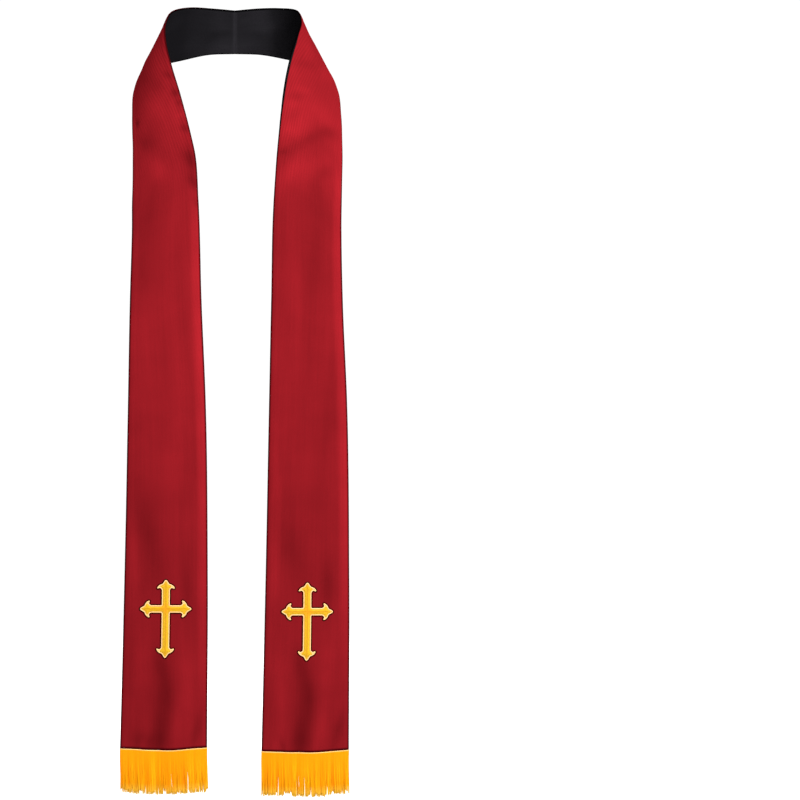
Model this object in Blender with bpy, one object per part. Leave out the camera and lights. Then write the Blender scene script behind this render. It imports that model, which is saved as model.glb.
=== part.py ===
"""A reversible clerical stole, hanging open as it is worn: red outside, black inside.

The origin is on the axis of the neck, at the height where the cloth lies on the shoulders.
The front faces -Y. Sizes are in millimetres, and meshes are written in metres.
"""
import math
from collections import namedtuple

import bmesh
import bpy
from mathutils import Vector
from mathutils.geometry import delaunay_2d_cdt

MM = 0.001

# Cloth: two faces sewn back to back, in two halves that meet at the centre back seam
CLOTH_WALL = 1.0
LAYER_GAP = 0.3
SEAM_GAP = 0.3

# Mesh of the cloth: short steps round the neck and shoulder, longer ones down the panel
SHOULDER_LENGTH = 420.0
SHOULDER_STEPS = 27
PANEL_STEPS = 30
ACROSS_STEPS = 6
SHARP_ANGLE = math.radians(40)

# Steps along and across over which the lie of the cloth is measured
PROBE = 2.0
PROBE_SHARE = 0.02

# Fringe: a sewn heading, and the strands under it
HEADING_HEIGHT = 9.0
FRINGE_DROP = 64.0
FRINGE_THICKNESS = 2.0
STRANDS = 56
STRAND_FILL = 0.74
STRAND_THICKNESS = 1.3
STRAND_TAPER = 0.8
STRAND_SWAY = 1.2
SWAY_TURN = 0.33
STRAND_UNEVEN = 2.6
UNEVEN_TURNS = (1.9, 0.47)

# Crosses: one on each face of each end
CROSS_THICKNESS = 1.1
CROSS_CROWN = 0.5
CROSS_STEP = 8.0
CROSS_TIP = 4.0
CROSS_ABOVE_HEM = {"left": 203.0, "right": 199.0}

# Sections across each half, from the nape seam to the hem.
# Each gives the neck edge and the outer edge as distances out from the centre line, back from
# the neck's axis and up from the origin, and how far its middle bows out of a straight line.
Section = namedtuple("Section", "neck_out neck_back neck_up edge_out edge_back edge_up bow")

SECTIONS = {
    "right": (
        Section(0.0, 62.0, 30.0, 0.0, 108.0, -28.5, -1.5),
        Section(34.0, 60.0, 32.5, 40.0, 105.0, -31.0, -1.5),
        Section(68.0, 50.0, 31.0, 80.0, 91.0, -41.0, -0.5),
        Section(92.0, 30.0, 23.5, 115.0, 64.0, -53.5, 1.2),
        Section(98.5, 5.0, 3.0, 140.0, 28.0, -73.0, 2.0),
        Section(90.5, -24.0, -27.0, 153.5, -14.0, -107.0, 3.5),
        Section(80.0, -56.0, -64.0, 156.0, -56.0, -150.0, 5.0),
        Section(71.5, -82.0, -107.0, 156.5, -86.0, -200.0, 5.5),
        Section(63.0, -102.0, -180.0, 155.0, -104.0, -258.0, 5.0),
        Section(55.5, -110.0, -278.0, 154.0, -110.0, -315.0, 4.0),
        Section(52.0, -112.0, -422.0, 156.0, -112.0, -430.0, 3.5),
        Section(49.0, -112.0, -567.0, 162.0, -112.0, -570.0, 3.5),
        Section(44.0, -112.0, -820.0, 165.0, -112.0, -820.0, 4.0),
        Section(38.0, -112.0, -1071.0, 164.5, -112.0, -1071.0, 4.0),
    ),
    "left": (
        Section(0.0, 62.0, 30.0, 0.0, 108.0, -28.5, -1.5),
        Section(34.0, 60.0, 32.5, 40.0, 105.0, -31.0, -1.5),
        Section(70.0, 50.0, 32.0, 80.0, 91.0, -42.0, -0.5),
        Section(95.0, 29.0, 22.0, 114.0, 64.0, -55.0, 0.5),
        Section(103.5, 4.0, 0.0, 139.5, 28.0, -74.0, 1.7),
        Section(102.0, -26.0, -34.0, 150.8, -14.0, -107.0, 4.0),
        Section(92.5, -54.0, -75.0, 151.0, -56.0, -152.0, 5.5),
        Section(79.5, -80.0, -120.0, 149.0, -86.0, -204.0, 6.0),
        Section(63.0, -100.0, -184.0, 148.5, -103.0, -261.0, 5.0),
        Section(57.3, -105.0, -210.0, 149.0, -106.0, -280.0, 4.6),
        Section(52.5, -110.0, -278.0, 149.0, -110.0, -318.0, 4.0),
        Section(48.0, -112.0, -422.0, 152.0, -112.0, -430.0, 3.5),
        Section(42.0, -112.0, -567.0, 154.5, -112.0, -570.0, 3.5),
        Section(39.0, -112.0, -820.0, 159.5, -112.0, -820.0, 4.0),
        Section(40.0, -112.0, -1071.0, 166.0, -112.0, -1071.0, 4.0),
    ),
}

# The largest soft folds. Each has its middle, as distances along from the nape seam and across
# from the neck edge, its lean in degrees off the stole's length, its half length and half width,
# and its rise, which is negative in a trough.
Fold = namedtuple("Fold", "along across lean half_length half_width rise")

FOLDS = {
    "right": (
        Fold(346.0, 44.0, -43.0, 64.0, 16.0, 3.2),
        Fold(370.0, 66.0, -43.0, 60.0, 15.0, -3.0),
        Fold(408.0, 42.0, -38.0, 52.0, 18.0, 2.2),
        Fold(700.0, 40.0, 4.0, 170.0, 26.0, -2.0),
        Fold(945.0, 30.0, 17.0, 75.0, 20.0, -3.0),
        Fold(1165.0, 58.0, 0.0, 70.0, 18.0, -2.5),
    ),
    "left": (
        Fold(348.0, 34.0, -34.0, 64.0, 17.0, 2.5),
        Fold(374.0, 58.0, -38.0, 60.0, 17.0, -2.2),
        Fold(640.0, 72.0, -4.0, 180.0, 26.0, -2.0),
        Fold(935.0, 90.0, -16.0, 75.0, 20.0, -3.0),
        Fold(1165.0, 66.0, 0.0, 70.0, 18.0, -2.5),
    ),
}

# Arms of the cross, clockwise from the top: direction in degrees from the top, length to the tip,
# half width, and how far the leaf at the tip is stretched along the arm and across it.
Arm = namedtuple("Arm", "turn reach half_width leaf_length leaf_spread")

ARMS = (
    Arm(0.0, 42.5, 6.2, 1.0, 1.0),
    Arm(90.0, 37.8, 5.4, 1.12, 0.92),
    Arm(180.0, 71.3, 6.2, 1.08, 1.0),
    Arm(270.0, 37.8, 5.4, 1.12, 0.92),
)

# Half outline of the leaf with its curled barb: back from the tip, and out from the arm's middle
LeafPoint = namedtuple("LeafPoint", "back out")

LEAF = (
    LeafPoint(0.0, 0.0),
    LeafPoint(0.8, 1.5),
    LeafPoint(3.2, 3.1),
    LeafPoint(6.0, 4.9),
    LeafPoint(6.8, 8.0),
    LeafPoint(8.8, 11.2),
    LeafPoint(11.8, 13.3),
    LeafPoint(13.2, 12.8),
    LeafPoint(12.2, 10.8),
    LeafPoint(11.4, 8.6),
    LeafPoint(13.8, 6.2),
)

# Colour, roughness and metallic value of each cloth and thread
Finish = namedtuple("Finish", "color roughness metallic")

FINISHES = {
    "red_satin": Finish((0.33, 0.011, 0.018), 0.50, 0.0),
    "black_satin": Finish((0.011, 0.011, 0.013), 0.50, 0.0),
    "gold_fringe": Finish((0.97, 0.36, 0.01), 0.55, 0.0),
    "gold_stitch": Finish((0.91, 0.50, 0.03), 0.45, 0.0),
}


def slope(values, knots, index):
    """The direction of the smooth line through the values at one of its knots."""
    last = len(knots) - 1
    if index == 0:
        return (values[1] - values[0]) / (knots[1] - knots[0])
    if index == last:
        return (values[last] - values[last - 1]) / (knots[last] - knots[last - 1])
    before = knots[index] - knots[index - 1]
    after = knots[index + 1] - knots[index]
    first = (values[index] - values[index - 1]) / before
    second = (values[index + 1] - values[index]) / after
    return (first * after + second * before) / (before + after)


def smooth(values, knots, at):
    """The value at a distance along the smooth line through the knots, straight past its end."""
    last = len(knots) - 1
    if at >= knots[last]:
        return values[last] + slope(values, knots, last) * (at - knots[last])
    index = max(i for i in range(last) if knots[i] <= at)
    span = knots[index + 1] - knots[index]
    u = (at - knots[index]) / span
    start = values[index] * (2 * u**3 - 3 * u**2 + 1)
    start_slope = slope(values, knots, index) * (span * (u**3 - 2 * u**2 + u))
    end = values[index + 1] * (3 * u**2 - 2 * u**3)
    end_slope = slope(values, knots, index + 1) * (span * (u**3 - u**2))
    return start + start_slope + end + end_slope


class Half:
    """The smooth middle sheet of one half of the stole, between its red and its black face."""

    def __init__(self, name):
        sections = SECTIONS[name]
        self.side = 1.0 if name == "right" else -1.0
        self.folds = FOLDS[name]
        self.neck = [Vector((row.neck_out, row.neck_back, row.neck_up)) for row in sections]
        self.edge = [Vector((row.edge_out, row.edge_back, row.edge_up)) for row in sections]
        self.bow = [row.bow for row in sections]
        self.knots = [0.0]
        for i in range(1, len(sections)):
            neck_step = (self.neck[i] - self.neck[i - 1]).length
            edge_step = (self.edge[i] - self.edge[i - 1]).length
            self.knots.append(self.knots[-1] + (neck_step + edge_step) / 2)
        self.length = self.knots[-1]

    def ends(self, along):
        """The neck edge and the outer edge at a distance along from the nape seam."""
        return smooth(self.neck, self.knots, along), smooth(self.edge, self.knots, along)

    def width(self, along):
        neck, edge = self.ends(along)
        return (edge - neck).length

    def flat_point(self, along, share):
        """A point of the straight section, share 0 at the neck edge and 1 at the outer edge."""
        neck, edge = self.ends(along)
        return neck.lerp(edge, share)

    def flat_normal(self, along, share):
        """The way out of the red face, before bows and folds."""
        neck, edge = self.ends(along)
        start = self.flat_point(max(along - PROBE, 0.0), share)
        onward = self.flat_point(along + PROBE, share) - start
        return onward.cross(edge - neck).normalized()

    def rise(self, along, share):
        """How far bows and folds carry the sheet out of its straight section."""
        along = min(along, self.length)
        across = share * self.width(along)
        total = smooth(self.bow, self.knots, along) * (1 - (2 * share - 1) ** 2)
        for fold in self.folds:
            turn = math.radians(fold.lean)
            down = along - fold.along
            over = across - fold.across
            lengthwise = (down * math.cos(turn) + over * math.sin(turn)) / fold.half_length
            crosswise = (over * math.cos(turn) - down * math.sin(turn)) / fold.half_width
            total += fold.rise * math.exp(-lengthwise**2 - crosswise**2)
        return total

    def sheet(self, along, share):
        """A point of the middle sheet with its bows and folds."""
        normal = self.flat_normal(along, share)
        return self.flat_point(along, share) + normal * self.rise(along, share)

    def lifted(self, along, share, lift):
        """A point at a height over the middle sheet, positive towards the red face."""
        start = self.sheet(max(along - PROBE, 0.0), share)
        onward = self.sheet(along + PROBE, share) - start
        across = self.sheet(along, share + PROBE_SHARE) - self.sheet(along, share - PROBE_SHARE)
        normal = onward.cross(across)
        if along == 0.0:
            normal.x = 0.0
        point = self.sheet(along, share) + normal.normalized() * lift
        point.x = self.side * (point.x + SEAM_GAP / 2)
        return point * MM


def finish_material(name):
    material = bpy.data.materials.get(name)
    if material is None:
        finish = FINISHES[name]
        material = bpy.data.materials.new(name)
        material.use_nodes = True
        shader = material.node_tree.nodes["Principled BSDF"]
        shader.inputs["Base Color"].default_value = (*finish.color, 1.0)
        shader.inputs["Roughness"].default_value = finish.roughness
        shader.inputs["Metallic"].default_value = finish.metallic
        material.diffuse_color = (*finish.color, 1.0)
    return material


def add_piece(name, bm, finish):
    """Closes the drawing of one piece and puts it in the scene."""
    bmesh.ops.triangulate(bm, faces=bm.faces)
    bmesh.ops.recalc_face_normals(bm, faces=bm.faces)
    mesh = bpy.data.meshes.new(name)
    bm.to_mesh(mesh)
    bm.free()
    mesh.shade_smooth()
    mesh.set_sharp_from_angle(angle=SHARP_ANGLE)
    mesh.materials.append(finish_material(finish))
    bpy.context.collection.objects.link(bpy.data.objects.new(name, mesh))


def grid_points(bm, half, stations, shares, lift):
    return [[bm.verts.new(half.lifted(along, share, lift)) for share in shares] for along in stations]


def fill_grid(bm, rows):
    """Covers a grid of points, each cell cut along the same diagonal."""
    for upper, lower in zip(rows, rows[1:]):
        for j in range(len(upper) - 1):
            bm.faces.new((upper[j], lower[j], lower[j + 1]))
            bm.faces.new((upper[j], lower[j + 1], upper[j + 1]))


def rim(rows):
    """The points round the border of a grid, in order."""
    bottom = rows[-1][1:-1]
    right = [row[-1] for row in rows]
    left = [row[0] for row in rows]
    return rows[0][:-1] + right + bottom[::-1] + left[:0:-1]


def join_loops(bm, first, second):
    """A band of quads between two closed loops of as many points."""
    for i, point in enumerate(first):
        follower = (i + 1) % len(first)
        bm.faces.new((point, first[follower], second[follower], second[i]))


def cloth_stations(half):
    """Distances along of the rows of points, from the nape seam to the hem."""
    shoulder = [SHOULDER_LENGTH * i / SHOULDER_STEPS for i in range(SHOULDER_STEPS)]
    panel_step = (half.length - SHOULDER_LENGTH) / PANEL_STEPS
    return shoulder + [SHOULDER_LENGTH + panel_step * i for i in range(PANEL_STEPS + 1)]


def make_cloth(name, half, direction, finish):
    """One face of one half: a wall that starts half a layer gap from the middle sheet."""
    bm = bmesh.new()
    stations = cloth_stations(half)
    shares = [j / ACROSS_STEPS for j in range(ACROSS_STEPS + 1)]
    inside = grid_points(bm, half, stations, shares, direction * LAYER_GAP / 2)
    outside = grid_points(bm, half, stations, shares, direction * (LAYER_GAP / 2 + CLOTH_WALL))
    fill_grid(bm, inside)
    fill_grid(bm, outside)
    join_loops(bm, rim(inside), rim(outside))
    add_piece(name, bm, finish)


def make_fringe(name, half):
    """The heading of the fringe and its strands, which are one with it at their roots."""
    bm = bmesh.new()
    pitch = 1.0 / STRANDS
    shares = [0.0]
    for k in range(STRANDS):
        middle = (k + 0.5) * pitch
        shares += [middle - pitch * STRAND_FILL / 2, middle + pitch * STRAND_FILL / 2]
    shares.append(1.0)
    top = half.length + SEAM_GAP
    stations = [top, top + HEADING_HEIGHT]
    front = grid_points(bm, half, stations, shares, FRINGE_THICKNESS / 2)
    back = grid_points(bm, half, stations, shares, -FRINGE_THICKNESS / 2)
    fill_grid(bm, front)
    fill_grid(bm, back)
    for end in (0, -1):
        bm.faces.new((front[0][end], front[1][end], back[1][end], back[0][end]))
    for i in range(len(shares) - 1):
        bm.faces.new((front[0][i], front[0][i + 1], back[0][i + 1], back[0][i]))
        root = [front[1][i], front[1][i + 1], back[1][i + 1], back[1][i]]
        if i % 2 == 0:
            bm.faces.new(root)
        else:
            hang_strand(bm, half, root, i // 2)
    add_piece(name, bm, "gold_fringe")


def strand_ring(bm, half, along, middle, taper):
    """The four corners of a strand at one height, about its middle as a share of the hem."""
    reach = taper * STRAND_FILL / STRANDS / 2
    depth = taper * STRAND_THICKNESS / 2
    corners = ((-reach, depth), (reach, depth), (reach, -depth), (-reach, -depth))
    return [bm.verts.new(half.lifted(along, middle + over, lift)) for over, lift in corners]


def hang_strand(bm, half, root, k):
    """Strand number k, from its root in the heading to its cut end."""
    middle = (k + 0.5) / STRANDS
    sway = STRAND_SWAY * math.sin(SWAY_TURN * k + half.side) / half.width(half.length)
    uneven = 1 + math.sin(UNEVEN_TURNS[0] * k) * math.cos(UNEVEN_TURNS[1] * k)
    start = half.length + SEAM_GAP + HEADING_HEIGHT
    end = half.length + FRINGE_DROP - STRAND_UNEVEN * uneven
    waist = strand_ring(bm, half, (start + end) / 2, middle + sway / 2, 1.0)
    tip = strand_ring(bm, half, end, middle + sway, STRAND_TAPER)
    join_loops(bm, root, waist)
    join_loops(bm, waist, tip)
    bm.faces.new(tip)


def cross_outline():
    """The cross in its own plane, clockwise from the corner left of the top arm."""
    outline = []
    for i, arm in enumerate(ARMS):
        turn = math.radians(arm.turn)
        onward = Vector((math.sin(turn), math.cos(turn)))
        right = Vector((math.cos(turn), -math.sin(turn)))
        before = ARMS[i - 1]
        outline.append(onward * before.half_width - right * arm.half_width)
        leaf = []
        for point in LEAF[:-1]:
            leaf.append((arm.reach - point.back * arm.leaf_length, point.out * arm.leaf_spread))
        leaf.append((arm.reach - LEAF[-1].back * arm.leaf_length, arm.half_width))
        outline += [onward * up - right * out for up, out in reversed(leaf[1:])]
        outline += [onward * up + right * out for up, out in leaf]
    return outline


def split_long(outline):
    """The outline with its long straight edges cut into steps."""
    points = []
    for start, end in zip(outline, outline[1:] + outline[:1]):
        steps = max(1, math.ceil((end - start).length / CROSS_STEP))
        points += [start.lerp(end, i / steps) for i in range(steps)]
    return points


def arm_middles():
    """Points down the middle of the arms, where the stitching stands highest."""
    points = [Vector((0.0, 0.0))]
    for arm in ARMS:
        turn = math.radians(arm.turn)
        onward = Vector((math.sin(turn), math.cos(turn)))
        run = arm.reach - CROSS_TIP
        steps = round(run / CROSS_STEP)
        points += [onward * (run * i / steps) for i in range(1, steps + 1)]
    return points


def make_cross(name, half, half_name, direction):
    """A cross laid on one face of the cloth and made from the cloth's own points, moved out."""
    border = split_long(cross_outline())
    plan = border + arm_middles()
    ring = list(range(len(border)))
    points, _, triangles, _, _, _ = delaunay_2d_cdt(plan, [], [ring], 1, 0.0001)
    centre = half.length - CROSS_ABOVE_HEM[half_name]
    base = LAYER_GAP / 2 + CLOTH_WALL + SEAM_GAP
    bm = bmesh.new()
    sole = []
    crown = []
    for i, point in enumerate(points):
        along = centre - point.y
        share = 0.5 + point.x / half.width(along)
        height = CROSS_THICKNESS + (CROSS_CROWN if i >= len(border) else 0.0)
        sole.append(bm.verts.new(half.lifted(along, share, direction * base)))
        crown.append(bm.verts.new(half.lifted(along, share, direction * (base + height))))
    for triangle in triangles:
        bm.faces.new([sole[i] for i in triangle])
        bm.faces.new([crown[i] for i in triangle])
    join_loops(bm, [sole[i] for i in ring], [crown[i] for i in ring])
    add_piece(name, bm, "gold_stitch")


def main():
    for old in list(bpy.data.objects):
        bpy.data.objects.remove(old, do_unlink=True)
    for half_name in ("left", "right"):
        half = Half(half_name)
        make_cloth("red_" + half_name, half, 1.0, "red_satin")
        make_cloth("black_" + half_name, half, -1.0, "black_satin")
        make_fringe("fringe_" + half_name, half)
        make_cross("cross_red_" + half_name, half, half_name, 1.0)
        make_cross("cross_black_" + half_name, half, half_name, -1.0)


main()
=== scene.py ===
"""Dresses the clerical stole: satin cloth in four shells, gold fringes, embroidered crosses.

Distances in the tables are in millimetres, and every mesh is in metres in the part's frame.
"""
import math
import random
from collections import namedtuple

import bmesh
import bpy
import numpy as np
from bpy.props import FloatProperty, FloatVectorProperty, IntProperty, PointerProperty
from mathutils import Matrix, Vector
from mathutils.geometry import delaunay_2d_cdt


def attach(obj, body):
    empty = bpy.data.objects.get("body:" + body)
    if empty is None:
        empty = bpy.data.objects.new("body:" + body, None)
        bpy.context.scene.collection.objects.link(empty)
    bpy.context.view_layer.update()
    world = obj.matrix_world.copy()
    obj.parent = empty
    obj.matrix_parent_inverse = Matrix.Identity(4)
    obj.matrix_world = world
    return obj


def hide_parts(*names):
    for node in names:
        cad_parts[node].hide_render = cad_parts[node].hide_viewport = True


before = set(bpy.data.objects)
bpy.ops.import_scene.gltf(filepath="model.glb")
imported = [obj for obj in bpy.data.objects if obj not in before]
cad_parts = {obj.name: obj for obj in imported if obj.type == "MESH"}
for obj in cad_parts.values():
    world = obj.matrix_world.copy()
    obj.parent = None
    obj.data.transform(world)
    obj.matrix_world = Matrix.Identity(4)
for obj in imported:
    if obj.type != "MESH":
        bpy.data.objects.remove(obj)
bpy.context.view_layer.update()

bl_info = {
    "name": "Clerical stole",
    "version": (1, 0, 0),
    "blender": (4, 5, 0),
    "location": "3D View > Sidebar > Stole",
    "description": "Sews a reversible stole with fringes and crosses round a packed frame",
    "category": "Add Mesh",
}

MM = 0.001
SIDES = ("left", "right")
SEAM_GAP = 0.3

# How far off the points lie from which the way out of the cloth is taken
PROBE = 2.0

# The lie of the cloth: sections across each half, from the nape seam to the hem
Section = namedtuple("Section", "neck_out neck_back neck_up edge_out edge_back edge_up bow")

SECTIONS = {
    "right": (
        Section(0, 62, 30, 0, 108, -28.5, -1.5),
        Section(34, 60, 32.5, 40, 105, -31, -1.5),
        Section(68, 50, 31, 80, 91, -41, -0.5),
        Section(92, 30, 23.5, 115, 64, -53.5, 1.2),
        Section(98.5, 5, 3, 140, 28, -73, 2),
        Section(90.5, -24, -27, 153.5, -14, -107, 3.5),
        Section(80, -56, -64, 156, -56, -150, 5),
        Section(71.5, -82, -107, 156.5, -86, -200, 5.5),
        Section(63, -102, -180, 155, -104, -258, 5),
        Section(55.5, -110, -278, 154, -110, -315, 4),
        Section(52, -112, -422, 156, -112, -430, 3.5),
        Section(49, -112, -567, 162, -112, -570, 3.5),
        Section(44, -112, -820, 165, -112, -820, 4),
        Section(38, -112, -1071, 164.5, -112, -1071, 4),
    ),
    "left": (
        Section(0, 62, 30, 0, 108, -28.5, -1.5),
        Section(34, 60, 32.5, 40, 105, -31, -1.5),
        Section(70, 50, 32, 80, 91, -42, -0.5),
        Section(95, 29, 22, 114, 64, -55, 0.5),
        Section(103.5, 4, 0, 139.5, 28, -74, 1.7),
        Section(102, -26, -34, 150.8, -14, -107, 4),
        Section(92.5, -54, -75, 151, -56, -152, 5.5),
        Section(79.5, -80, -120, 149, -86, -204, 6),
        Section(63, -100, -184, 148.5, -103, -261, 5),
        Section(57.3, -105, -210, 149, -106, -280, 4.6),
        Section(52.5, -110, -278, 149, -110, -318, 4),
        Section(48, -112, -422, 152, -112, -430, 3.5),
        Section(42, -112, -567, 154.5, -112, -570, 3.5),
        Section(39, -112, -820, 159.5, -112, -820, 4),
        Section(40, -112, -1071, 166, -112, -1071, 4),
    ),
}

# Soft folds and creases: middle along from the nape seam and across from the neck edge,
# lean in degrees off the length, half length, half width, and rise towards the red face
Fold = namedtuple("Fold", "along across lean half_length half_width rise")

# The shorter main folds also give a share of painted light on their ridges and painted shade in
# their hollows
FOLDS = {
    "right": (
        Fold(346, 44, -43, 64, 16, 3.2),
        Fold(370, 66, -43, 60, 15, -3),
        Fold(408, 42, -38, 52, 18, 2.2),
        Fold(700, 40, 4, 170, 26, -2),
        Fold(945, 30, 17, 75, 20, -3),
        Fold(1165, 58, 0, 70, 18, -2.5),
    ),
    "left": (
        Fold(348, 34, -34, 64, 17, 2.5),
        Fold(374, 58, -38, 60, 17, -2.2),
        Fold(640, 72, -4, 180, 26, -2),
        Fold(935, 90, -16, 75, 20, -3),
        Fold(1165, 66, 0, 70, 18, -2.5),
    ),
}

# Smaller creases that only the sewn cloth has; besides their shape they give each face
# painted light on its ridges and painted shade in its hollows
CREASES = {
    "right": (
        Fold(0, 37, 0, 50, 60, -0.9),
        Fold(0, 66, 0, 30, 14, -1),
        Fold(14, 18, 84, 3.5, 9, -0.35),
        Fold(16, 58, 80, 3.5, 11, -0.45),
        Fold(34, 44, 12, 14, 8, 0.8),
        Fold(58, 30, -20, 20, 8, -0.8),
        Fold(116, 46, 0, 26, 70, 1.7),
        Fold(110, 55, -16, 34, 9, 0.7),
        Fold(158, 30, 14, 30, 8, -0.6),
        Fold(205, 74, -30, 34, 12, 0.8),
        Fold(246, 26, -40, 30, 9, -0.6),
        Fold(330, 60, -43, 30, 14, -1),
        Fold(358, 57, -43, 66, 7, -1.4),
        Fold(300, 30, -50, 22, 5, 0.5),
        Fold(318, 22, -48, 20, 4.5, -0.5),
        Fold(334, 20, -50, 18, 4.5, 0.6),
        Fold(350, 20, -46, 16, 4, -0.4),
        Fold(374, 17, -52, 18, 7, 1.3),
        Fold(418, 24, -38, 26, 9, 0.8),
        Fold(404, 8, -52, 11, 4, -1.2),
        Fold(322, 92, -52, 26, 9, -1),
        Fold(390, 84, -42, 28, 8, -1),
        Fold(424, 66, -20, 36, 14, -0.8),
        Fold(434, 14, -30, 18, 9, 1.3),
        Fold(520, 62, -6, 90, 13, -0.8),
        Fold(590, 34, 3, 110, 10, 0.6),
        Fold(770, 84, -6, 120, 14, -0.8),
        Fold(860, 12, 3, 60, 8, 1),
        Fold(975, 11, 0, 62, 8, 1.2),
        Fold(1000, 88, 2, 44, 9, -1.3),
        Fold(1105, 92, -5, 60, 13, 0.8),
        Fold(1120, 53, 14, 26, 10, -1.4),
        Fold(1160, 63, 6, 24, 10, -1.2),
        Fold(1208, 56, -8, 32, 11, -2.2),
        Fold(1226, 54, 0, 14, 9, -1.3),
        Fold(1165, 24, 5, 52, 10, 0.8),
        Fold(1200, 84, -4, 34, 9, 0.8),
        Fold(1229, 30, 12, 9, 4, -1),
        Fold(1229, 18, -8, 8, 4, 0.8),
        Fold(1212, 108, -12, 26, 7, -1.4),
        Fold(1228, 76, -8, 10, 5, 0.7),
    ),
    "left": (
        Fold(0, 37, 0, 50, 60, -0.9),
        Fold(0, 66, 0, 30, 14, -1),
        Fold(15, 30, 84, 3.5, 9, -0.4),
        Fold(13, 62, 80, 3.5, 8, -0.35),
        Fold(36, 46, 18, 26, 8, 1),
        Fold(66, 58, 26, 22, 9, -0.8),
        Fold(118, 28, 12, 34, 8, -0.7),
        Fold(160, 62, -18, 30, 9, 0.8),
        Fold(272, 14, -30, 16, 5, -1.2),
        Fold(262, 40, -30, 40, 12, -0.7),
        Fold(342, 38, -34, 50, 17, -0.9),
        Fold(376, 44, -38, 40, 16, 0.8),
        Fold(300, 52, -30, 44, 11, 0.4),
        Fold(290, 90, -20, 8, 5, -1.5),
        Fold(313, 10, -40, 12, 5.5, -1.6),
        Fold(332, 7, -45, 9, 4.5, -1.3),
        Fold(336, 84, -40, 22, 9, -0.8),
        Fold(350, 10, -58, 9, 3.5, 0.7),
        Fold(371, 9, -50, 12, 5, -1.4),
        Fold(392, 68, -25, 26, 13, 1),
        Fold(410, 13, -30, 16, 8, -1.9),
        Fold(442, 7, -40, 14, 5.5, -1.6),
        Fold(466, 4, -40, 9, 4, -0.9),
        Fold(470, 40, 6, 60, 11, 0.7),
        Fold(520, 86, 4, 90, 12, -0.8),
        Fold(610, 30, -3, 120, 11, -0.7),
        Fold(790, 46, 5, 120, 14, 0.8),
        Fold(970, 108, 0, 66, 8, 1.3),
        Fold(1000, 32, -2, 44, 9, -1.2),
        Fold(1095, 96, 6, 60, 12, 0.8),
        Fold(1120, 68, -10, 26, 10, -1.4),
        Fold(1160, 62, -2, 24, 10, -1.2),
        Fold(1208, 70, 8, 32, 11, -2.2),
        Fold(1226, 71, 0, 14, 9, -1.3),
        Fold(1150, 30, -5, 60, 11, 0.8),
        Fold(1200, 44, 4, 34, 9, 0.8),
        Fold(1224, 99, -10, 14, 13, -1.3),
        Fold(1229, 94, 6, 8, 4, 0.8),
        Fold(1210, 16, 12, 24, 7, -1.4),
        Fold(1228, 84, 8, 10, 5, -0.8),
    ),
}

# How far the black face rolls over each edge to the red side, from place to place along it.
# Where it is negative, the red face rolls over to the black side.
Roll = namedtuple("Roll", "along neck edge")

ROLLS = {
    "right": (
        Roll(0, 0.3, -0.4),
        Roll(60, 0.4, -0.6),
        Roll(130, 0.6, -0.1),
        Roll(180, 2.4, 0.4),
        Roll(215, 4.2, 0.6),
        Roll(260, 4.8, 0.7),
        Roll(330, 4.4, 0.4),
        Roll(370, 3, 0.1),
        Roll(400, 1.6, -0.1),
        Roll(430, 0.2, -0.2),
        Roll(620, -0.2, -0.3),
        Roll(1100, -0.1, -0.2),
        Roll(1240, 0.1, 0.1),
    ),
    "left": (
        Roll(0, 0.3, -0.4),
        Roll(40, 0.2, -0.5),
        Roll(80, -1.2, -0.6),
        Roll(150, -1.4, 0),
        Roll(190, 0, 0.7),
        Roll(240, 0.2, 1),
        Roll(300, 0.2, 0.5),
        Roll(360, 0, 0),
        Roll(640, -0.3, -0.2),
        Roll(1050, -0.2, -0.1),
        Roll(1240, 0.1, 0.1),
    ),
}

# The same along the whole hem
HEM_ROLL = -0.5

# How far each edge turns back from place to place along it, curling forward where negative, which
# sets its painted strip too, and the painted light on the red face there, painted shade where
# negative
Turn = namedtuple("Turn", "along neck edge tone")

TURNS = {
    "right": (
        Turn(0, 0, 0, 0),
        Turn(240, 0, 0, -0.25),
        Turn(335, 0, 0.1, 0.25),
        Turn(410, 0.2, 0.8, 0.25),
        Turn(450, 0.3, 1.3, 0.05),
        Turn(620, 0.3, 1.4, 0.15),
        Turn(800, 0.2, 1.4, 0.05),
        Turn(980, 0.1, 1.2, -0.2),
        Turn(1060, 0.1, 0.6, -0.2),
        Turn(1180, 0.1, 0.1, -0.32),
        Turn(1240, 0, 0, -0.36),
    ),
    "left": (
        Turn(0, 0, 0, 0),
        Turn(230, -0.2, 0.1, -0.25),
        Turn(300, -0.25, 0.2, 0.05),
        Turn(360, -0.2, 0.3, -0.1),
        Turn(430, -0.15, 0.4, -0.15),
        Turn(500, 1.2, 0.4, 0.15),
        Turn(620, 1.4, 0.3, 0.4),
        Turn(800, 1.4, 0.2, 0),
        Turn(980, 1.2, 0.1, -0.25),
        Turn(1100, 0.5, 0.3, -0.3),
        Turn(1180, 0.3, 0.4, -0.3),
        Turn(1240, 0, 0, -0.35),
    ),
}
TURN_REACH = 18.0
TURN_FADE = 0.5

# The edge on the right in the picture turns towards the light and gets a painted highlight strip,
# the other one turns away and gets a painted shade strip, of which the black face has a share
LIT_EDGE = {"right": "edge", "left": "neck"}
PAINTED_EDGE_HIGHLIGHT = 0.8
PAINTED_EDGE_SHADE = -0.2
BLACK_PAINTED_EDGE_SHARE = 0.3

# Painted shade makes the satin darkest where it turns in: the painted shade ends between these
# distances from a seam, and the hem counts as a little nearer than it is
PAINTED_SEAM_SHADE = -2.0
SEAM_SHADE = (1.5, 3.1)
HEM_SHADE = 0.75

# Height of a crease whose ridge gets the full painted light and whose hollow the full painted shade,
# and how little of that the main folds have, of which the long ones have none
FULLY_PAINTED_CREASE = 2.2
MAIN_FOLD_SHARE = 0.35
LONG_FOLD = 130.0

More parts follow.
